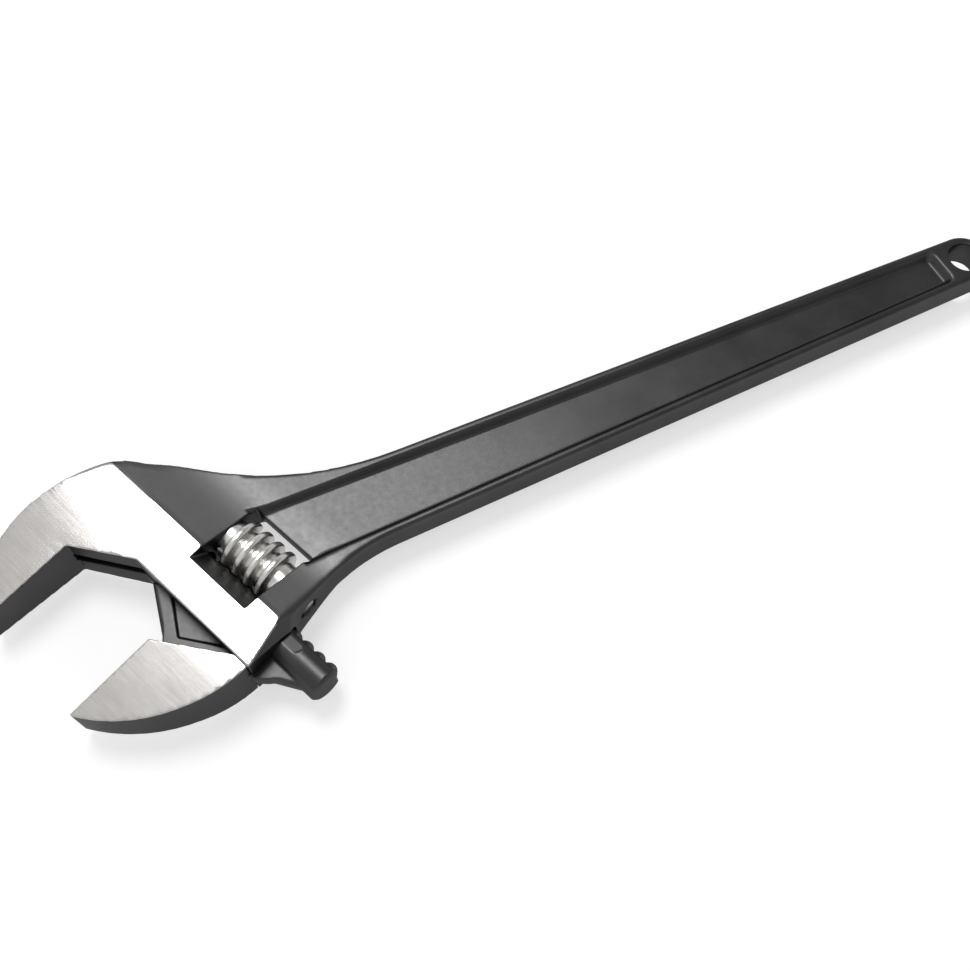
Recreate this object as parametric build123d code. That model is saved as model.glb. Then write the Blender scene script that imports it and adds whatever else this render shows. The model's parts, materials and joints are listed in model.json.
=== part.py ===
from build123d import *

import math
import os

# Adjustable wrench, modelled lying flat with its jaws fully open.  The head is drawn in its own
# axes: X is the way the movable jaw slides out, Y points from the jaw tips to the handle, and
# Z = 0 is the middle of the thickness.  place() turns that into the part's own frame, where +X
# runs along the handle, +Z is up, and the origin is the middle of the bottom of the part's box.

# ---- head and jaws -----------------------------------------------------------------------
head_thickness = 25.6
jaw_opening = 52.4
closed_gap = 0.2
jaw_depth = 54.5            # from the band's jaw-side edge to the tips
jaw_tip_thickness = 17.1
fixed_jaw_width = 24.9
fixed_throat_depth = 14.2
fixed_throat_length = 24.7
movable_jaw_width = 35.2
movable_throat_depth = 17.2
movable_throat_length = 28.2
seam_gap = 0.15             # between the movable jaw and the band it slides along
band_width = 20.5           # the thick band that houses the rod
band_overhang = 0.4         # the band's end past the movable jaw's back, jaws fully open
end_bevel = 5.2

# ---- handle ------------------------------------------------------------------------------
handle_angle = 22.5
handle_root = 36.8          # where the handle's middle line crosses the band's jaw-side edge
handle_reach = 392.8        # from there to the handle's end
handle_thickness = 13.4
handle_width_near = 35.2
handle_width_far = 24.0
near_station = 90.0         # where along the handle the near width is taken
hang_hole_diameter = 15.6
neck_run = 4.8              # past the window, where the head has thinned to the handle
panel_depth = 3.5
panel_draft = 33.0
panel_edge_land = 3.3       # flat top of each edge rib
panel_end_margin = 24.5     # from the handle's end back to the panel
panel_corner_radius = 3.5
edge_rounding = 2.0

# ---- sliding rod, web and bore -----------------------------------------------------------
rod_diameter = 15.0
rod_centre = 16.2           # from the band's jaw-side edge
rod_lead = 8.8              # how far the rod starts before the movable jaw's face
rod_overhang = 23.0         # how far it stands out of the band, jaws fully open
rod_clearance = 0.1
bore_end_gap = 0.6
web_thickness = 6.0
web_rounding = 1.8
slot_clearance = 0.3
web_recess_depth = 0.7

# ---- knurl, its window and its pin -------------------------------------------------------
thread_lead = 6.35
thread_depth = 3.35
knurl_diameter = 23.8
thread_root_clearance = 0.35
thread_flank_clearance = 0.35
ridge_tip_width = 2.5
ridge_rounding = 1.1
ridge_flank_angle = 14.0
ridge_phase = 50.1          # where a ridge passes on the handle side of the knurl
collar_length_near = 2.2
collar_length_far = 1.1
window_start = 39.3         # from the fixed jaw's face
window_length = 30.9
window_over_rod = 5.1       # the window's near side, past the rod's middle line
knurl_back_gap = 2.7        # between the knurl and the window's handle side
ledge_run = 7.0             # the slope from the ground face down to the rod
knurl_end_gap = 0.15
pin_diameter = 5.0
pin_clearance = 0.08
pin_seat_clearance = 0.05
pin_seat_depth = 11.0
pin_head_diameter = 8.2
pin_head_length = 6.9
pin_wall = 4.8              # between the window and the pin's head
pin_slot_width = 1.2
pin_slot_depth = 1.4
spring_wire = 0.8
spring_diameter = 7.4
spring_pocket_diameter = 8.4
spring_pocket_depth = 8.0
spring_turns = 5.5
spring_gap = 0.15

# ---- worked out from the sizes above -----------------------------------------------------
half_head = head_thickness / 2
half_handle = handle_thickness / 2
jaw_travel = jaw_opening - closed_gap
head_end = jaw_opening + movable_jaw_width + band_overhang
rod_start = jaw_opening - rod_lead
rod_end = head_end + rod_overhang
rod_radius = rod_diameter / 2
bore_radius = rod_radius + rod_clearance
knurl_radius = knurl_diameter / 2
rack_crest = rod_centre + rod_radius
thread_root_radius = knurl_radius - thread_depth
knurl_centre = rack_crest + thread_root_clearance + thread_root_radius
window_end = window_start + window_length
window_near = rod_centre + window_over_rod
window_far = knurl_centre + knurl_radius + knurl_back_gap
ledge_start = window_near - ledge_run
neck_end = window_far + neck_run
pin_head_start = window_end + pin_wall
knurl_near = window_start + knurl_end_gap
knurl_far = window_end - knurl_end_gap
angle = math.radians(handle_angle)
across_head = 4 * head_end
whole_thickness = 2 * head_thickness


def on_handle(along, side):
    """Head-frame point of a place along the handle, side to the fixed jaw's side."""
    return (
        handle_root + along * math.sin(angle) - side * math.cos(angle),
        along * math.cos(angle) + side * math.sin(angle),
    )


def handle_half_width(along):
    hole_station = handle_reach - handle_width_far / 2
    share = (along - near_station) / (hole_station - near_station)
    return (handle_width_near + share * (handle_width_far - handle_width_near)) / 2


def cylinder_along_x(radius, start, end, y):
    """Round bar or hole parallel to the slide direction."""
    return Pos(start, y, 0) * Rot(0, 90, 0) * Cylinder(
        radius, end - start, align=(Align.CENTER, Align.CENTER, Align.MIN)
    )


def plate(outline, thickness):
    return extrude(make_face(outline), thickness / 2, both=True)


def both_faces(cutter):
    """The same cutter on the front and the back of the part."""
    return [cutter, mirror(cutter, about=Plane.XY)]


def thickness_profile():
    """Side view of the whole forging, thinner at the jaw tips and along the handle."""
    tip = jaw_tip_thickness / 2
    far = handle_reach + band_width
    top = [
        (-jaw_depth, tip), (0, half_head), (band_width, half_head),
        (neck_end, half_handle), (far, half_handle),
    ]
    bottom = [(y, -z) for y, z in reversed(top)]
    side = Plane.YZ * make_face(Polyline(*top, *bottom, close=True))
    return extrude(side, across_head, both=True)


# ---- body: handle, head and fixed jaw in one forging -------------------------------------
def forging_outline():
    hole_station = handle_reach - handle_width_far / 2
    lower_neck = (head_end - 5.8, window_far)
    lower_start = on_handle(near_station, -handle_half_width(near_station))
    lower_end = on_handle(hole_station, -handle_width_far / 2)
    upper_end = on_handle(hole_station, handle_width_far / 2)
    upper_start = on_handle(near_station + 15, handle_half_width(near_station + 15))
    upper_neck = on_handle(36.5, 36.9)
    shoulder = on_handle(8.5, 54.9)
    jaw_back = (-fixed_jaw_width, -13.0)
    head_corner = (-fixed_jaw_width + 3.6, band_width / 2)
    tip_back = (-1.0, -jaw_depth)
    edges = [
        Polyline((0, -jaw_depth), (0, -fixed_throat_depth), (fixed_throat_length, 0),
                 (head_end, 0), (head_end - 0.3, band_width), (head_end - 3.2, band_width + 5),
                 lower_neck),
        TangentArc(lower_neck, lower_start, tangent=(0, 1)),
        Line(lower_start, lower_end),
        ThreePointArc(lower_end, on_handle(handle_reach, 0), upper_end),
        Line(upper_end, upper_start),
        TangentArc(upper_start, upper_neck, tangent=Vector(*upper_start) - Vector(*upper_end)),
        Line(upper_neck, shoulder),
        ThreePointArc(shoulder, (-fixed_jaw_width + 8.3, band_width), head_corner),
        ThreePointArc(head_corner, (-fixed_jaw_width + 1.4, 0.6), jaw_back),
        ThreePointArc(jaw_back, (-fixed_jaw_width + 4.4, -33.0), tip_back),
        Line(tip_back, (0, -jaw_depth)),
    ]
    return edges


def panel_recess():
    """Sunk panel between the two edge ribs, open to the knurl's window."""
    far = handle_reach - panel_end_margin
    start_line = window_far - 3
    corners = []
    for along, sign in ((far, 1), (far, -1)):
        corners.append(on_handle(along, sign * (handle_half_width(along) - panel_edge_land)))
    near_side = handle_half_width(near_station / 2) - panel_edge_land
    for sign in (-1, 1):
        along = (start_line - sign * near_side * math.sin(angle)) / math.cos(angle)
        corners.append(on_handle(along, sign * near_side))
    outline = make_face(Polyline(*corners, close=True))
    ends = outline.vertices().sort_by(Axis.Y)[-2:]
    outline = fillet(ends, panel_corner_radius)
    top = Pos(0, 0, half_handle) * outline
    sunk = extrude(top, -panel_depth, taper=panel_draft)
    # the same walls carried on up through the neck's slope
    return sunk + extrude(top, half_head - half_handle, taper=-panel_draft)


def ledge_cut():
    """45 degree slope from the ground face down to the rod, on the band's side of the window."""
    floor = half_head - ledge_run
    outline = Polyline(
        (ledge_start, half_head), (window_near, floor),
        (window_near + ledge_run, floor), (window_near + ledge_run, head_thickness),
        (ledge_start, head_thickness), close=True,
    )
    slope = Plane.YZ * make_face(outline)
    return Pos(window_start, 0, 0) * extrude(slope, window_end - window_start)


def end_bevel_cut():
    """Slanted face that rounds off the band's free end towards the handle."""
    start = Vector(head_end, 0, half_head)
    end = Vector(head_end - end_bevel, band_width, half_head)
    run = end - start
    outward = Vector(run.Y, -run.X, 0).normalized()
    tilted = Plane(origin=start, x_dir=run, z_dir=outward + Vector(0, 0, 1))
    block = Box(4.2 * run.length, head_thickness, head_thickness,
                align=(Align.CENTER, Align.CENTER, Align.MIN))
    return tilted * block


def soften_edges(body):
    """Rounds the handle's long outer edges, front and back."""
    flat = half_handle - 0.01
    outer = [
        edge for edge in body.edges()
        if min(v.Y for v in edge.vertices()) > neck_end - 0.01
        and abs(edge.center().Z) > flat
        and abs(edge.center().Y - neck_end) > 1
    ]
    return fillet(outer, edge_rounding)


def make_body():
    body = plate(forging_outline(), whole_thickness) & thickness_profile()
    body = soften_edges(body)
    for cutter in both_faces(panel_recess()) + both_faces(end_bevel_cut()):
        body -= cutter
    body -= plate(window_outline(), whole_thickness)
    for cutter in both_faces(ledge_cut()):
        body -= cutter
    body -= rod_bore() + web_slot() + pin_holes()
    hole_station = handle_reach - handle_width_far / 2
    body -= Pos(*on_handle(hole_station, 0), 0) * Cylinder(hang_hole_diameter / 2, head_thickness)
    return body


def window_outline():
    return Polyline(
        (window_start, window_near), (window_end, window_near),
        (window_end, window_far), (window_start, window_far), close=True,
    )


def rod_bore():
    """Blind bore for the rod, open at the band's free end and along the window."""
    deepest = rod_start - jaw_travel - bore_end_gap
    return cylinder_along_x(bore_radius, deepest, head_end + head_thickness, rod_centre)


def web_lead_edge(shift):
    """The web's three leading corners, shifted along the slide."""
    return [
        (jaw_opening + shift, -movable_throat_depth + 3.7),
        (jaw_opening - 21.2 + shift, -0.9),
        (rod_start + shift, rod_centre - rod_radius / 2),
    ]


def web_slot():
    """Slot that the movable jaw's web slides in, from the bore down through the band."""
    lead = web_lead_edge(-jaw_travel - 2 * slot_clearance)
    beyond = head_end + head_thickness
    outline = Polyline(*lead, (beyond, rod_centre), (beyond, -fixed_throat_depth),
                       (lead[0][0], -fixed_throat_depth), close=True)
    return plate(outline, web_thickness + 2 * slot_clearance)


def pin_holes():
    """Blind seat, and through hole with a wide mouth for the pin's head."""
    seat_radius = pin_diameter / 2 + pin_seat_clearance
    mouth_radius = pin_head_diameter / 2 + pin_seat_clearance
    through = cylinder_along_x(
        seat_radius, window_start - pin_seat_depth, pin_head_start + 1, knurl_centre)
    mouth = cylinder_along_x(mouth_radius, pin_head_start, head_end + 10, knurl_centre)
    return through + mouth


# ---- movable jaw: jaw, web, gusset and rod in one forging --------------------------------
def jaw_block():
    """The jaw itself, full thickness, with its throat face running up to the band."""
    face = jaw_opening
    back = face + movable_jaw_width
    edge = -seam_gap
    belly = (back - 6.3, -25.1)
    tip_back = (face + 1.0, -jaw_depth)
    edges = [
        Polyline(tip_back, (face, -jaw_depth), (face, -movable_throat_depth),
                 (face + movable_throat_length, edge), (back, edge)),
        ThreePointArc((back, edge), (back - 1.7, -13.0), belly),
        ThreePointArc(belly, (back - 17.5, -41.7), tip_back),
    ]
    return plate(edges, whole_thickness) & thickness_profile()


def web_and_gusset():
    """Thin plate from the jaw up to the rod, carried on past the band as a gusset."""
    lead = web_lead_edge(0)
    back = jaw_opening + movable_jaw_width
    heel = (back - 0.6, -2.0)
    gusset_start = (back + 6.5, 3.3)
    gusset_end = (rod_end - 3.5, rod_centre - 6.0)
    edges = [
        Polyline(gusset_end, (rod_end - 4.5, rod_centre), (lead[2][0] + 2, rod_centre), lead[2],
                 lead[1], lead[0], (jaw_opening + 4, -movable_throat_depth), heel),
        ThreePointArc(heel, (back + 3.6, 0.6), gusset_start),
        Line(gusset_start, gusset_end),
    ]
    web = plate(edges, web_thickness)
    lead_edges = [
        edge for edge in web.edges()
        if abs(abs(edge.center().Z) - web_thickness / 2) < 0.01
        and (edge.center().Y < rod_centre - rod_radius)
        and edge.geom_type == GeomType.LINE
        and (edge.center().X < jaw_opening or edge.center().X > back)
        and edge.center().Y > -movable_throat_depth
    ]
    return fillet(lead_edges, web_rounding)


def web_recess():
    """Shallow three-cornered panel sunk in the web between the jaws."""
    outline = Polyline(
        (jaw_opening - 14.5, 2.4), (jaw_opening + 3.9, -9.3),
        (jaw_opening + 23.5, 2.4), close=True,
    )
    top = Pos(0, 0, web_thickness / 2) * make_face(outline)
    return extrude(top, -web_recess_depth, taper=45)


def rod_blank():
    rod = cylinder_along_x(rod_radius, rod_start, rod_end, rod_centre)
    rims = rod.edges().filter_by(GeomType.CIRCLE)
    return chamfer(rims, 1.2)


def ridge_section(grow):
    """Thread ridge drawn in the plane through the knurl's axis: X along it, Y outwards."""
    depth_in = thread_root_radius - 0.4
    tip = ridge_tip_width / 2 + grow
    height = knurl_radius + grow
    foot = tip + (height - depth_in) * math.tan(math.radians(ridge_flank_angle))
    return [(-foot, depth_in), (-tip, height), (tip, height), (foot, depth_in)]


def rack_grooves():
    """Grooves across the rod, each the sweep of one ridge, leaning with the thread."""
    lean = math.degrees(math.atan(thread_lead / (2 * math.pi * (thread_root_radius + 1.5))))
    profile = make_face(Polyline(*ridge_section(thread_flank_clearance), close=True))
    ring = revolve(profile, Axis.X)
    ring = Rot(0, -lean, 0) * ring
    first = ridge_phase + thread_lead / 2
    count_back = math.ceil((rod_start - first) / thread_lead)
    count_on = math.floor((rod_end - first) / thread_lead)
    return [
        Pos(first + turn * thread_lead, knurl_centre, 0) * ring
        for turn in range(count_back, count_on + 1)
    ]


def make_movable_jaw():
    web = web_and_gusset()
    for cutter in both_faces(web_recess()):
        web -= cutter
    rod = rod_blank()
    for groove in rack_grooves():
        rod -= groove
    return jaw_block() + web + rod


# ---- knurl, pin and spring ---------------------------------------------------------------
def make_knurl():
    """Screw with a single right-hand thread and plain collars at both ends."""
    core = cylinder_along_x(thread_root_radius, knurl_near, knurl_far, 0)
    section = make_face(Polyline(*ridge_section(0), close=True))
    section = fillet(section.vertices().sort_by(Axis.Y)[-2:], ridge_rounding)
    half_foot = section.bounding_box().size.X / 2
    first = knurl_near + collar_length_near + half_foot
    last = knurl_far - collar_length_far - half_foot
    helix = Helix(pitch=thread_lead, height=last - first, radius=thread_root_radius)
    # the section's X runs along the screw and its Y outwards
    start = Plane(origin=(0, 0, 0), x_dir=(0, 0, 1), z_dir=(0, 1, 0))
    ridge = sweep(start * section, path=helix, is_frenet=True)
    turn = 360 * (first - ridge_phase) / thread_lead
    # Rot(90, 90, 0) lays Z along X and X along Y, so the ridge starts on the +Y side
    knurl = core + Pos(first, 0, 0) * Rot(turn, 0, 0) * Rot(90, 90, 0) * ridge
    bore = cylinder_along_x(pin_diameter / 2 + pin_clearance, knurl_near, knurl_far, 0)
    pocket = cylinder_along_x(
        spring_pocket_diameter / 2, knurl_near, knurl_near + spring_pocket_depth, 0)
    return Pos(0, knurl_centre, 0) * (knurl - bore - pocket)


def make_knurl_pin():
    """Headed pin that the knurl turns on, with a screwdriver slot in its head."""
    shank = cylinder_along_x(
        pin_diameter / 2, window_start - pin_seat_depth + 0.5, pin_head_start + 1, knurl_centre)
    head_end_x = pin_head_start + pin_head_length
    head = cylinder_along_x(pin_head_diameter / 2, pin_head_start, head_end_x, knurl_centre)
    head = chamfer(head.edges().filter_by(GeomType.CIRCLE).sort_by(Axis.X)[-1], 0.5)
    slot = Pos(head_end_x, knurl_centre, 0) * Rot(35, 0, 0) * Box(
        2 * pin_slot_depth, 2 * pin_head_diameter, pin_slot_width)
    return shank + head - slot


def make_knurl_spring():
    """Small coil in the knurl's pocket that keeps the jaw from drifting."""
    length = spring_pocket_depth + knurl_end_gap - 2 * spring_gap - spring_wire
    helix = Helix(
        pitch=length / spring_turns, height=length,
        radius=(spring_diameter - spring_wire) / 2,
    )
    wire = Plane(origin=helix @ 0, x_dir=(1, 0, 0), z_dir=helix % 0) * Circle(spring_wire / 2)
    coil = sweep(wire, path=helix, is_frenet=True)
    return Pos(window_start + spring_gap + spring_wire / 2, knurl_centre, 0) * Rot(90, 90, 0) * coil


# ---- the part's own frame ----------------------------------------------------------------
def turned(shape):
    return Rot(0, 0, handle_angle - 90) * shape


def main():
    pieces = {
        "body": make_body(),
        "movable_jaw": make_movable_jaw(),
        "knurl": make_knurl(),
        "knurl_pin": make_knurl_pin(),
        "knurl_spring": make_knurl_spring(),
    }
    pieces = {name: turned(shape) for name, shape in pieces.items()}
    boxes = [shape.bounding_box() for shape in pieces.values()]
    low = [min(getattr(box.min, axis) for box in boxes) for axis in "XYZ"]
    high = [max(getattr(box.max, axis) for box in boxes) for axis in "XYZ"]
    to_origin = Pos(-(low[0] + high[0]) / 2, -(low[1] + high[1]) / 2, -low[2])
    os.makedirs("parts", exist_ok=True)
    for name, shape in pieces.items():
        export_step(to_origin * shape, f"parts/{name}.step")
        print(name, "volume", round(shape.volume), "mm3")
    print("the head frame's origin lies at", to_origin.position)


if __name__ == "__main__":
    main()
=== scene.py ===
import json
import math

import bpy
import numpy as np
from mathutils import Euler, Matrix, Vector


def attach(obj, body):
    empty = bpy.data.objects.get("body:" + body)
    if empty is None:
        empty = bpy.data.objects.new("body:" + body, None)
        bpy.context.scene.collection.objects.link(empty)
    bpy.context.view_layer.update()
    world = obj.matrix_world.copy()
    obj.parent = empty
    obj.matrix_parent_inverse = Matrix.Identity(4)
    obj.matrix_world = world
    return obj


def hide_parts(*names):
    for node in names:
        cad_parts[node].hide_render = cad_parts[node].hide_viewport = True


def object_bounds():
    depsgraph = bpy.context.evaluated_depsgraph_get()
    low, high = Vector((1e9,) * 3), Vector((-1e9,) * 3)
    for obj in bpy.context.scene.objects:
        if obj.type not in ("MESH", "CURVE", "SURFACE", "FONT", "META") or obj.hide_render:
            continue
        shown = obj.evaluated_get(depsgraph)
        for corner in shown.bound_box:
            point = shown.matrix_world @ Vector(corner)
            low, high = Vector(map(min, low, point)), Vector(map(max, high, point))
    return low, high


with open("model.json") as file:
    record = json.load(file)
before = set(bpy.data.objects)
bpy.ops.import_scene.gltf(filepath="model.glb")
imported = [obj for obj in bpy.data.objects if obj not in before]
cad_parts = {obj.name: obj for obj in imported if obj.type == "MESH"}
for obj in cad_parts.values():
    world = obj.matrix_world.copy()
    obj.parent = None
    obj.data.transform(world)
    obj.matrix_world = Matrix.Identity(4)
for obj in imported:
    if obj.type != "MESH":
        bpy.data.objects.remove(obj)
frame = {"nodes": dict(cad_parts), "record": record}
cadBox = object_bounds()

mm = 0.001
print("wrench: frame loaded, nodes", sorted(frame["nodes"]))


# the head's own axes: X the way the movable jaw opens, Y from the jaw tips to the handle,
# Z up from the middle of the thickness.  The fixed jaw's face is at X = 0.
mounts = {mount["name"]: mount for mount in frame["record"]["mounts"]}
openWay = Vector(mounts["fixed_jaw_face"]["axis"]).normalized()
handleWay = Vector((0, 0, 1)).cross(openWay)
fixedFaceY = -34 * mm        # how far towards the tips the fixed jaw's mount lies
headOrigin = Vector(mounts["fixed_jaw_face"]["pos_m"]) - fixedFaceY * handleWay
headMatrix = Matrix.Translation(headOrigin) @ Matrix(
    (openWay, handleWay, (0, 0, 1))).transposed().to_4x4()
toHead = headMatrix.inverted()

headShape = {
    "halfThickness": 12.8,
    "tipHalfThickness": 8.55,
    "jawDepth": 54.5,
    "bandWidth": 20.5,       # the thick band that the rod slides in
    "bandEnd": 88.0,         # the band's free end, along its jaw side
    "bevelRun": 5.2,         # how far the end bevel eats in by the band's handle side
    "neckEnd": 52.0,
    "handleHalfThickness": 6.7,
    "windowStart": 39.3,
    "windowEnd": 70.2,
    "windowNear": 21.3,
    "windowFar": 47.2,
    "ledgeRun": 7.0,         # the slope from the band down to the rod, beside the window
    "taperEase": 14.0,       # half the length over which the jaws' taper begins
    "neckCurve": (1.35, 0.35, 3.86),
}
jawTaper = (headShape["halfThickness"] - headShape["tipHalfThickness"]) / headShape["jawDepth"]
rodLook = {
    "centre": 16.2,          # from the band's jaw-side edge
    "radius": 7.5,
    "flatLean": 11.0,        # degrees, towards the handle
    "flatDepth": 0.38,
    "flatEnd": 93.3,
    "flatHalfWidth": 2.3,
}


def newMaterial(name):
    material = bpy.data.materials.new(name)
    material.use_nodes = True
    tree = material.node_tree
    return material, tree, tree.nodes["Principled BSDF"]


def addNode(tree, kind, **settings):
    node = tree.nodes.new(kind)
    for name, value in settings.items():
        setattr(node, name, value)
    return node


def plug(tree, source, socket):
    if isinstance(source, (int, float, tuple)):
        socket.default_value = source
    else:
        tree.links.new(source, socket)


def calc(tree, operation, first, second=0.0, third=0.0):
    node = addNode(tree, "ShaderNodeMath", operation=operation)
    for value, socket in zip((first, second, third), node.inputs):
        plug(tree, value, socket)
    return node.outputs[0]


def mixed(tree, kind, share, first, second):
    node = addNode(tree, "ShaderNodeMix", data_type=kind)
    for name, value in (("Factor", share), ("A", first), ("B", second)):
        plug(tree, value, node.inputs[name])
    return node.outputs["Result"]


def ranged(tree, value, start, end, low=0.0, high=1.0, curve="SMOOTHSTEP"):
    # low up to start, high from end on
    node = addNode(tree, "ShaderNodeMapRange", interpolation_type=curve)
    limits = {"From Min": start, "From Max": end, "To Min": low, "To Max": high}
    for name, limit in limits.items():
        node.inputs[name].default_value = limit
    tree.links.new(value, node.inputs["Value"])
    return node.outputs["Result"]


def spread(tree, value, low, high):
    # stretches a noise's usual values out between two levels
    return ranged(tree, value, 0.3, 0.7, low, high, "LINEAR")


def noise(tree, coords, scale, detail=4, roughness=0.55):
    node = addNode(tree, "ShaderNodeTexNoise")
    node.inputs["Scale"].default_value = scale
    node.inputs["Detail"].default_value = detail
    node.inputs["Roughness"].default_value = roughness
    tree.links.new(coords, node.inputs["Vector"])
    return node.outputs["Fac"]


def tones(tree, value, dark, light, start=0.3, end=0.7):
    ramp = addNode(tree, "ShaderNodeValToRGB")
    for stop, place, colour in zip(ramp.color_ramp.elements, (start, end), (dark, light)):
        stop.position = place
        stop.color = (*colour, 1)
    tree.links.new(value, ramp.inputs["Fac"])
    return ramp.outputs["Color"]


def bump(tree, height, distance, strength=0.5, before=None):
    node = addNode(tree, "ShaderNodeBump")
    node.inputs["Strength"].default_value = strength
    node.inputs["Distance"].default_value = distance
    tree.links.new(height, node.inputs["Height"])
    if before is not None:
        tree.links.new(before, node.inputs["Normal"])
    return node.outputs["Normal"]


def headCoords(tree, stretch=(1, 1, 1)):
    # coordinates in the head's own axes, so that grinding lines follow the tool
    coords = addNode(tree, "ShaderNodeTexCoord")
    mapping = addNode(tree, "ShaderNodeMapping", vector_type="POINT")
    mapping.inputs["Location"].default_value = toHead.to_translation()
    mapping.inputs["Rotation"].default_value = toHead.to_euler()
    tree.links.new(coords.outputs["Object"], mapping.inputs["Vector"])
    if stretch == (1, 1, 1):
        return mapping.outputs["Vector"]
    stretched = addNode(tree, "ShaderNodeMapping")
    stretched.inputs["Scale"].default_value = stretch
    tree.links.new(mapping.outputs["Vector"], stretched.inputs["Vector"])
    return stretched.outputs["Vector"]


def headPlace(tree):
    # across, along and height in millimetres
    split = addNode(tree, "ShaderNodeSeparateXYZ")
    tree.links.new(headCoords(tree, (1 / mm, 1 / mm, 1 / mm)), split.inputs[0])
    return split.outputs


blackFinish = {
    "dark": (0.060, 0.060, 0.060),
    "light": (0.074, 0.074, 0.074),
    "roughLow": 0.32,
    "roughHigh": 0.42,
    "edgeShine": (0.54, 0.54, 0.54, 1),      # how much it brightens at a glancing angle
    "cloudScale": 38,
    "cloudStops": (0.35, 0.68),
    "grainScale": 2600,
    "grainDepth": 0.03 * mm,
    "grainStrength": 0.6,
    "pitScale": 420,
    "pitDepth": 0.03 * mm,
    "neckPaintedSheen": (0.104, 0.104, 0.104, 1),    # painted sheen: a lighter grey on the slopes from the band to the handle, standing in for the light they catch
    "neckLevel": (0.75, 0.95),               # how level a slope has to be for it
    "neckFadeIn": 3.0,                       # mm past the band
    "neckFadeOut": (-8, 14),                 # mm from the neck's end
}


def neckSheenMask(tree):
    # where the painted sheen goes: 1 on the slopes of the neck that face up or down, fading out along
    # the handle
    along = headPlace(tree)[1]
    facing = addNode(tree, "ShaderNodeSeparateXYZ")
    tree.links.new(addNode(tree, "ShaderNodeNewGeometry").outputs["Normal"], facing.inputs[0])
    level = ranged(tree, calc(tree, "ABSOLUTE", facing.outputs["Z"]), *blackFinish["neckLevel"])
    band = headShape["bandWidth"]
    begun = ranged(tree, along, band, band + blackFinish["neckFadeIn"])
    fadeStart, fadeEnd = (headShape["neckEnd"] + past for past in blackFinish["neckFadeOut"])
    left = ranged(tree, along, fadeStart, fadeEnd, 1.0, 0.0)
    return calc(tree, "MULTIPLY", level, calc(tree, "MULTIPLY", begun, left))


def blackSurface(tree):
    # colour, roughness and normal of the black forging
    coords = headCoords(tree)
    grain = noise(tree, coords, blackFinish["grainScale"], 3)
    pits = noise(tree, coords, blackFinish["pitScale"], 5)
    cloud = noise(tree, coords, blackFinish["cloudScale"], 3)
    plain = tones(tree, cloud, blackFinish["dark"], blackFinish["light"],
                  *blackFinish["cloudStops"])
    # the neck's slopes get a lighter grey, a painted sheen for the light they catch
    colour = mixed(tree, "RGBA", neckSheenMask(tree), plain, blackFinish["neckPaintedSheen"])
    worn = calc(tree, "MULTIPLY_ADD", pits, 0.5, calc(tree, "MULTIPLY", cloud, 0.5))
    rough = spread(tree, worn, blackFinish["roughLow"], blackFinish["roughHigh"])
    fine = bump(tree, grain, blackFinish["grainDepth"], blackFinish["grainStrength"])
    return colour, rough, bump(tree, pits, blackFinish["pitDepth"], before=fine)


groundFinish = {
    "dark": (0.465, 0.450, 0.435),
    "light": (0.535, 0.520, 0.505),
    "roughLow": 0.19,
    "roughHigh": 0.24,
    "edgeShine": (1.0, 1.0, 1.0, 1),
    "lineStretch": (60, 2600, 60),
    "lineDepth": 0.005 * mm,
    "lineShare": 0.6,
    "scuffScale": 160,
    "scuffShare": 0.4,
    "faceDepth": 0.28,       # mm below the face where the grinding ends
    "faceBlur": 0.06,
    "faceLevelling": (0.05, 0.18),
    "hair": 0.2,             # how far the black of the window's rim reaches onto the face
    "windowCorners": (2.0, 1.6),
    "bandEndCorner": 2.2,
}


def groundSurface(tree):
    # colour, roughness and normal of the ground faces, with lines along the way the jaw slides
    lines = noise(tree, headCoords(tree, groundFinish["lineStretch"]), 1, 4, 0.6)
    scuffs = noise(tree, headCoords(tree), groundFinish["scuffScale"], 4)
    cloudy = calc(tree, "MULTIPLY_ADD", lines, groundFinish["lineShare"],
                  calc(tree, "MULTIPLY", scuffs, groundFinish["scuffShare"]))
    colour = tones(tree, cloudy, groundFinish["dark"], groundFinish["light"])
    rough = spread(tree, lines, groundFinish["roughLow"], groundFinish["roughHigh"])
    return colour, rough, bump(tree, lines, groundFinish["lineDepth"])


def cornerGap(tree, first, second, radius):
    # distance inside a quarter plane with a rounded corner
    shortFirst = calc(tree, "MAXIMUM", calc(tree, "SUBTRACT", radius, first), 0.0)
    shortSecond = calc(tree, "MAXIMUM", calc(tree, "SUBTRACT", radius, second), 0.0)
    squares = calc(tree, "MULTIPLY_ADD", shortFirst, shortFirst,
                   calc(tree, "MULTIPLY", shortSecond, shortSecond))
    return calc(tree, "SUBTRACT", radius, calc(tree, "SQRT", squares))


def groundHeight(tree, along):
    # the same soft start of the jaws' taper as jawProfile gives the mesh
    easing = headShape["taperEase"]
    near = calc(tree, "MAXIMUM", calc(tree, "SUBTRACT", easing, along), 0.0)
    far = calc(tree, "MAXIMUM", calc(tree, "SUBTRACT", -easing, along), 0.0)
    squares = calc(tree, "SUBTRACT", calc(tree, "MULTIPLY", near, near),
                   calc(tree, "MULTIPLY", far, far))
    return calc(tree, "MULTIPLY_ADD", squares, -jawTaper / (4 * easing),
                headShape["halfThickness"] - groundFinish["faceDepth"])


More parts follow.
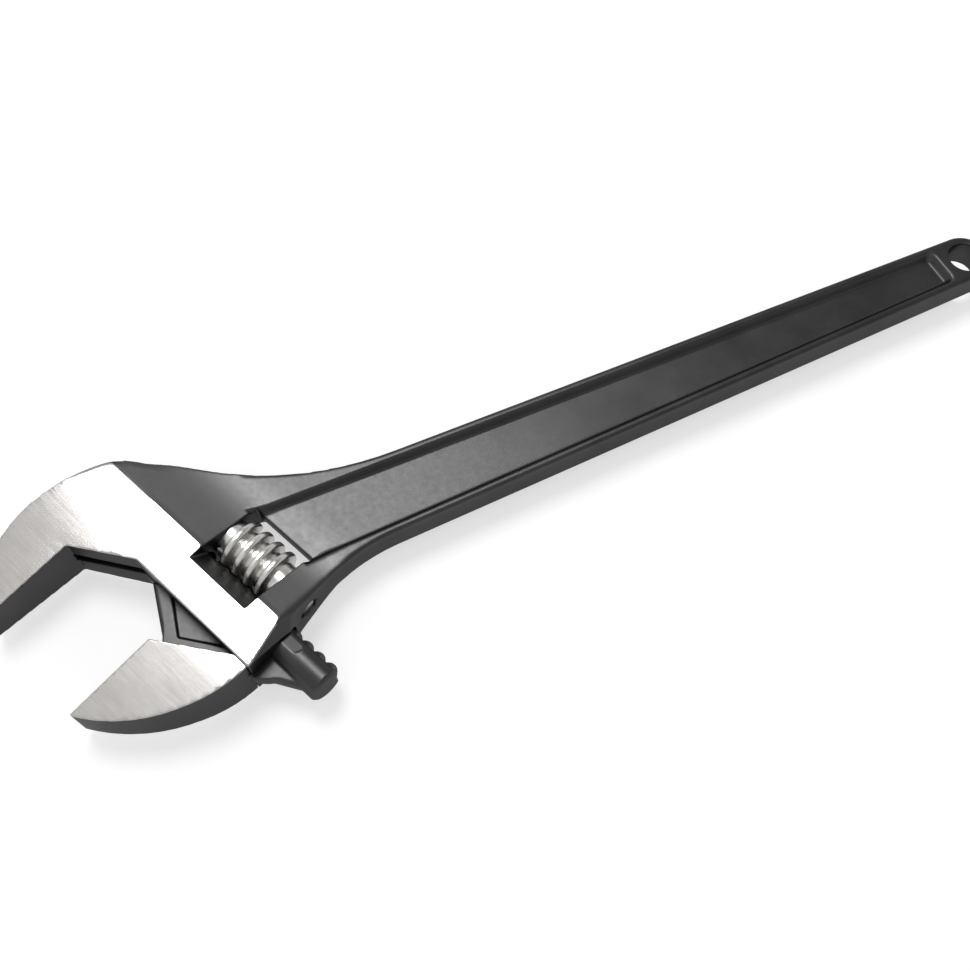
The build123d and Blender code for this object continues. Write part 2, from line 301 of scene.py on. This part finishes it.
def groundMask(tree, onBand):
    # 1 on the ground faces, 0 on the black forging, worked out from place alone
    across, along, height = headPlace(tree)
    inside = calc(tree, "SUBTRACT", calc(tree, "ABSOLUTE", height), groundHeight(tree, along))
    if onBand:
        hair = groundFinish["hair"]
        leftRadius, rightRadius = groundFinish["windowCorners"]
        endRadius = groundFinish["bandEndCorner"]
        toNeck = calc(tree, "SUBTRACT", headShape["bandWidth"], along)
        toWindow = calc(tree, "SUBTRACT", headShape["windowStart"] - hair, across)
        pastWindow = calc(tree, "SUBTRACT", across, headShape["windowEnd"])
        toEnd = calc(tree, "SUBTRACT", headShape["bandEnd"] - headShape["bevelRun"], across)
        toLedge = calc(tree, "SUBTRACT",
                       headShape["windowNear"] - headShape["ledgeRun"] - hair, along)
        beside = calc(tree, "MAXIMUM", cornerGap(tree, toWindow, toNeck, leftRadius),
                      cornerGap(tree, pastWindow, toNeck, rightRadius))
        rounded = calc(tree, "MAXIMUM", cornerGap(tree, toEnd, toNeck, endRadius),
                       calc(tree, "SUBTRACT", headShape["bandWidth"] - endRadius, along))
        inside = calc(tree, "MINIMUM", inside, calc(tree, "MAXIMUM", beside, toLedge))
        inside = calc(tree, "MINIMUM", inside, rounded)
    return ranged(tree, inside, -groundFinish["faceBlur"], groundFinish["faceBlur"])


def makeForging(name, onBand):
    # black oxide all over, with bright ground faces on the head
    material, tree, shader = newMaterial(name)
    mask = groundMask(tree, onBand)
    kinds = (("RGBA", "Base Color"), ("FLOAT", "Roughness"), ("VECTOR", "Normal"))
    for (kind, socket), black, ground in zip(kinds, blackSurface(tree), groundSurface(tree)):
        tree.links.new(mixed(tree, kind, mask, black, ground), shader.inputs[socket])
    shine = mixed(tree, "RGBA", mask, blackFinish["edgeShine"], groundFinish["edgeShine"])
    tree.links.new(shine, shader.inputs["Specular Tint"])
    shader.inputs["Metallic"].default_value = 1.0
    return material


turnedFinish = {
    "dark": (0.50, 0.49, 0.47),
    "light": (0.80, 0.79, 0.77),
    "roughLow": 0.22,
    "roughHigh": 0.36,
    "ringStretch": (5200, 90, 90),
    "ringDepth": 0.02 * mm,
    "smearScale": 260,
    "pinTint": 0.9,
    "springTint": 0.8,
}


def makeTurnedSteel(name, tint=1.0):
    # bright lathe-turned steel, with fine rings round the screw's axis
    material, tree, shader = newMaterial(name)
    rings = noise(tree, headCoords(tree, turnedFinish["ringStretch"]), 1, 3, 0.6)
    smears = noise(tree, headCoords(tree), turnedFinish["smearScale"], 4)
    dark, light = (tuple(tint * level for level in turnedFinish[tone]) for tone in ("dark", "light"))
    rough = spread(tree, smears, turnedFinish["roughLow"], turnedFinish["roughHigh"])
    tree.links.new(tones(tree, smears, dark, light), shader.inputs["Base Color"])
    tree.links.new(rough, shader.inputs["Roughness"])
    tree.links.new(bump(tree, rings, turnedFinish["ringDepth"]), shader.inputs["Normal"])
    shader.inputs["Metallic"].default_value = 1.0
    return material


def meshPoints(mesh):
    points = np.empty(len(mesh.vertices) * 3, np.float32)
    mesh.vertices.foreach_get("co", points)
    return points.reshape(-1, 3).astype(float)


def setPoints(mesh, points):
    mesh.vertices.foreach_set("co", points.astype(np.float32).ravel())
    mesh.update()


def settle(piece):
    # turns a piece's modifiers into its plain mesh
    depsgraph = bpy.context.evaluated_depsgraph_get()
    made = bpy.data.meshes.new_from_object(piece.evaluated_get(depsgraph))
    piece.modifiers.clear()
    piece.vertex_groups.clear()
    piece.data = made


def castFrom(node, name, voxel):
    # an even skin over the CAD node, lined up with the head's axes
    mesh = frame["nodes"][node].data.copy()
    mesh.transform(toHead)
    mesh.materials.clear()
    piece = bpy.data.objects.new(name, mesh)
    bpy.context.scene.collection.objects.link(piece)
    weld = piece.modifiers.new("weld", "WELD")
    weld.merge_threshold = 0.001 * mm
    skin = piece.modifiers.new("skin", "REMESH")
    skin.mode = "VOXEL"
    skin.voxel_size = voxel
    skin.use_smooth_shade = True
    settle(piece)
    print("wrench:", name, "skin has", len(piece.data.vertices), "points")
    return piece


def soften(piece, weights, rounds):
    # rounds edges off where the weights, from 0 to 1, say
    steps = 20
    group = piece.vertex_groups.new(name="soft")
    levels = np.round(weights * steps).astype(int)
    for level in range(1, steps + 1):
        members = np.nonzero(levels == level)[0]
        if len(members):
            group.add(members.tolist(), level / steps, "REPLACE")
    smooth = piece.modifiers.new("smooth", "SMOOTH")
    smooth.factor = 0.5
    smooth.iterations = rounds
    smooth.vertex_group = group.name
    settle(piece)


def ease(value, low, high):
    share = np.clip((value - low) / (high - low), 0, 1)
    return share * share * (3 - 2 * share)


def thin(piece, share):
    # fewer triangles where the skin is flat, and normals that keep flat faces flat
    fewer = piece.modifiers.new("fewer", "DECIMATE")
    fewer.ratio = share
    settle(piece)
    for polygon in piece.data.polygons:
        polygon.use_smooth = True
    piece.modifiers.new("weighted", "WEIGHTED_NORMAL")
    settle(piece)


def jawProfile(along):
    # half thickness along the jaws: the CAD's straight taper, and the ground one, which starts softly
    easing = headShape["taperEase"]
    near, far = np.maximum(easing - along, 0), np.maximum(-easing - along, 0)
    straight = headShape["halfThickness"] + jawTaper * np.minimum(along, 0)
    eased = headShape["halfThickness"] - jawTaper * (near ** 2 - far ** 2) / (4 * easing)
    return straight, eased


def neckProfile(along):
    # half thickness along the neck: the CAD's straight taper, and the forged one, which eases out
    high, low = headShape["halfThickness"], headShape["handleHalfThickness"]
    run = headShape["neckEnd"] - headShape["bandWidth"]
    lead, lag, power = headShape["neckCurve"]
    share = np.clip((along - headShape["bandWidth"]) / run, 0, 1)
    straight = high + (low - high) * share
    eased = high + (low - high) * (lead * share - lag * share ** power)
    return straight, np.maximum(eased, low)


def levelFaces(piece):
    # lays the skin exactly on the ground faces, away from their rounded edges
    points = meshPoints(piece.data) / mm
    along, height = points[:, 1], points[:, 2]
    short = jawProfile(along)[1] - abs(height)
    share = (1 - ease(short, *groundFinish["faceLevelling"])) * (along < headShape["bandWidth"])
    points[:, 2] += np.sign(height) * short * share
    setPoints(piece.data, points * mm)


bodyLook = {
    "voxel": 0.42 * mm,
    "keep": 0.30,
    "edgeRounds": 3,
    "neckRounds": 90,
    "shoulder": (-8.0, 29.0, 0.0),   # the middle of the shoulder's outline
    "shoulderOut": (-0.57, 0.82, 0.0),
    "shoulderAlong": (0.82, 0.57, 0.0),
    "shoulderDraw": 1.5,
    "shoulderRun": 9.0,
    "shoulderDepth": (-3.0, 1.4),    # drawn in between here and the outline, clear of the bore
    "neckFrom": 20.7,
    "neckStart": (20.8, 27.0),       # the neck's rounding begins
    "neckFade": (44.0, 62.0),        # and fades out
    "neckFaded": 0.9,
    "rimFade": (1.5, 6.0),           # from the window's crisp rim
    "lowerLean": 0.42,               # the lower neck, which is the most rounded, follows the handle
    "lowerFade": (20.0, 45.0),
    "upperShare": 0.1,
    "backStart": (2.0, 13.0),        # the round back of the head, beside the band
    "backSide": (-12.0, -4.0),
    "backPast": 4.0,
    "backShare": 0.8,
    "boreFade": (8.0, 9.5),          # from the rod's middle line
}


def drawShoulderIn(points):
    # the shoulder above the band is drawn in a little, into one long curve with the neck
    fromShoulder = points - bodyLook["shoulder"]
    outward = np.array(bodyLook["shoulderOut"])
    beside = fromShoulder @ bodyLook["shoulderAlong"]
    draw = bodyLook["shoulderDraw"] * np.exp(-(beside / bodyLook["shoulderRun"]) ** 2)
    share = ease(fromShoulder @ outward, *bodyLook["shoulderDepth"])
    return points - (draw * share)[:, None] * outward


def neckWeights(across, along):
    # the forged neck is rounded most at its lower edge, and not at all by the knurl's window
    ledgeStart = headShape["windowNear"] - headShape["ledgeRun"]
    gapAcross = np.maximum(headShape["windowStart"] - across, across - headShape["windowEnd"])
    gapAlong = np.maximum(ledgeStart - along, along - headShape["windowFar"])
    fromWindow = np.hypot(np.maximum(gapAcross, 0), np.maximum(gapAlong, 0))
    neck = ease(along, *bodyLook["neckStart"]) * (
        1 - bodyLook["neckFaded"] * ease(along, *bodyLook["neckFade"]))
    lower = ease(across - bodyLook["lowerLean"] * along, *bodyLook["lowerFade"])
    most = bodyLook["upperShare"] + (1 - bodyLook["upperShare"]) * lower
    return neck * ease(fromWindow, *bodyLook["rimFade"]) * most


def backWeights(across, along):
    behind = ease(-across, *bodyLook["backSide"])
    reach = along < headShape["bandWidth"] + bodyLook["backPast"]
    return bodyLook["backShare"] * ease(along, *bodyLook["backStart"]) * behind * reach


def makeBody():
    piece = castFrom("body", "wrench_body", bodyLook["voxel"])
    points = meshPoints(piece.data) / mm
    straight, eased = neckProfile(points[:, 1])
    inNeck = points[:, 1] > bodyLook["neckFrom"]
    points[:, 2] = np.where(inNeck, points[:, 2] * eased / straight, points[:, 2])
    straight, eased = jawProfile(points[:, 1])
    points[:, 2] *= eased / straight
    points = drawShoulderIn(points)
    setPoints(piece.data, points * mm)
    across, along, height = points.T
    # the rod's bore keeps its walls up to the window, so that the closed jaw fits
    fromRod = np.hypot(along - rodLook["centre"], height)
    outside = np.where(across < headShape["windowStart"], ease(fromRod, *bodyLook["boreFade"]), 1)
    rounding = np.maximum(neckWeights(across, along), backWeights(across, along))
    soften(piece, outside * rounding, bodyLook["neckRounds"])
    soften(piece, outside, bodyLook["edgeRounds"])
    levelFaces(piece)
    thin(piece, bodyLook["keep"])
    return piece


jawLook = {
    "voxel": 0.34 * mm,
    "keep": 0.35,
    "edgeRounds": 3,
}


def cutRodFlats(points):
    # a shallow flat with a round end on the rod's upper side, and the same one below
    lean = math.radians(rodLook["flatLean"])
    fromRod = points - (0, rodLook["centre"], 0)
    beyond = np.maximum(points[:, 0] - rodLook["flatEnd"], 0)
    for way in (1, -1):
        upWay = np.array((0, math.sin(lean), way * math.cos(lean)))
        sideWay = np.array((0, math.cos(lean), -way * math.sin(lean)))
        over = fromRod @ upWay - (rodLook["radius"] - rodLook["flatDepth"])
        flat = np.hypot(beyond, fromRod @ sideWay) < rodLook["flatHalfWidth"]
        sunk = flat & (over > 0)
        points[sunk] -= over[sunk, None] * upWay


def makeJaw():
    piece = castFrom("movable_jaw", "sliding_jaw", jawLook["voxel"])
    points = meshPoints(piece.data) / mm
    straight, eased = jawProfile(points[:, 1])
    points[:, 2] *= eased / straight
    cutRodFlats(points)
    setPoints(piece.data, points * mm)
    soften(piece, np.ones(len(points)), jawLook["edgeRounds"])
    levelFaces(piece)
    thin(piece, jawLook["keep"])
    return piece


def place(piece, node, body, slotName, material):
    piece.data.transform(headMatrix)
    piece.data.materials.clear()
    piece.data.materials.append(material)
    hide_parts(node)
    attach(piece, body)


def coat(node, material):
    # a finish for a CAD node that is shown as it is
    piece = frame["nodes"][node]
    piece.data.materials.clear()
    piece.data.materials.append(material)
    for polygon in piece.data.polygons:
        polygon.material_index = 0


place(makeBody(), "body", "handle", "forged_black", makeForging("forged black body", True))
place(makeJaw(), "movable_jaw", "jaw", "jaw_black", makeForging("forged black jaw", False))
coat("knurl", makeTurnedSteel("turned knurl steel"))
coat("knurl_pin", makeTurnedSteel("turned pin steel", turnedFinish["pinTint"]))
coat("knurl_spring", makeTurnedSteel("spring steel", turnedFinish["springTint"]))
print("wrench: pieces made")


studio = {
    "floorSize": 6.0,
    "floorDark": (0.48, 0.48, 0.48),
    "floorLight": (0.52, 0.52, 0.52),
    "speckleScale": 30,
    "floorRough": 0.9,
    "floorGlow": 0.57,
    "worldBright": 0.78,
    "worldDim": 0.30,
    "brightWay": (-1.0, 0.0, 0.0),
    "brightFade": (-0.6, 0.5),
    "wallBright": 0.72,      # the room's walls, below its shaded ceiling
    "wallFade": (0.35, 0.62),
    "softboxSize": 1.8,
    "softboxPower": 72.0,
    "softboxWay": (0.047, 0.409, 0.91),
    "softboxAway": 4.0,
}


def makeFloor():
    mesh = bpy.data.meshes.new("floor")
    half = studio["floorSize"] / 2
    corners = [(-half, -half, 0), (half, -half, 0), (half, half, 0), (-half, half, 0)]
    mesh.from_pydata(corners, [], [(0, 1, 2, 3)])
    floor = bpy.data.objects.new("studio_floor", mesh)
    floor.location.z = cadBox[0].z
    bpy.context.scene.collection.objects.link(floor)
    material, tree, shader = newMaterial("pale floor")
    speckle = noise(tree, headCoords(tree), studio["speckleScale"], 3)
    tree.links.new(tones(tree, speckle, studio["floorDark"], studio["floorLight"]),
                   shader.inputs["Base Color"])
    shader.inputs["Roughness"].default_value = studio["floorRough"]
    shader.inputs["Emission Color"].default_value = (1, 1, 1, 1)
    shader.inputs["Emission Strength"].default_value = studio["floorGlow"]
    mesh.materials.append(material)


def makeSoftbox():
    light = bpy.data.lights.new("softbox", "AREA")
    light.shape = "DISK"
    light.size = studio["softboxSize"]
    light.energy = studio["softboxPower"]
    lamp = bpy.data.objects.new("softbox", light)
    way = Vector(studio["softboxWay"]).normalized()
    lamp.location = headOrigin + studio["softboxAway"] * way
    lamp.rotation_euler = (-way).to_track_quat("-Z", "Y").to_euler()
    bpy.context.scene.collection.objects.link(lamp)


def makeWorld():
    # a soft room with pale walls and a ceiling that is brighter at one end
    world = bpy.data.worlds.new("soft room")
    world.use_nodes = True
    tree = world.node_tree
    coords = addNode(tree, "ShaderNodeTexCoord").outputs["Generated"]
    facing = addNode(tree, "ShaderNodeVectorMath", operation="DOT_PRODUCT")
    facing.inputs[1].default_value = studio["brightWay"]
    tree.links.new(coords, facing.inputs[0])
    split = addNode(tree, "ShaderNodeSeparateXYZ")
    tree.links.new(coords, split.inputs[0])
    ceiling = ranged(tree, facing.outputs["Value"], *studio["brightFade"],
                     studio["worldDim"], studio["worldBright"])
    overhead = ranged(tree, split.outputs["Z"], *studio["wallFade"])
    background = tree.nodes["Background"]
    background.inputs["Color"].default_value = (1, 1, 1, 1)
    tree.links.new(mixed(tree, "FLOAT", overhead, studio["wallBright"], ceiling),
                   background.inputs["Strength"])
    bpy.context.scene.world = world


view = {
    "place": (-0.122838, -0.188863, 0.400780),
    "turnDegrees": (27.5932, -0.7498, -25.4253),
    "lens": 39.628,
    "shift": (-0.00159, 0.0013),
    "nearest": 0.01,
}


def makeCamera():
    camera = bpy.data.cameras.new("camera")
    camera.lens = view["lens"]
    camera.shift_x, camera.shift_y = view["shift"]
    camera.clip_start = view["nearest"]
    holder = bpy.data.objects.new("camera", camera)
    holder.location = view["place"]
    holder.rotation_euler = Euler([math.radians(turn) for turn in view["turnDegrees"]], "XYZ")
    bpy.context.scene.collection.objects.link(holder)
    bpy.context.scene.camera = holder


makeFloor()
makeSoftbox()
makeWorld()
makeCamera()
bpy.context.scene.view_settings.view_transform = "Standard"
print("wrench: floor, light and camera set")
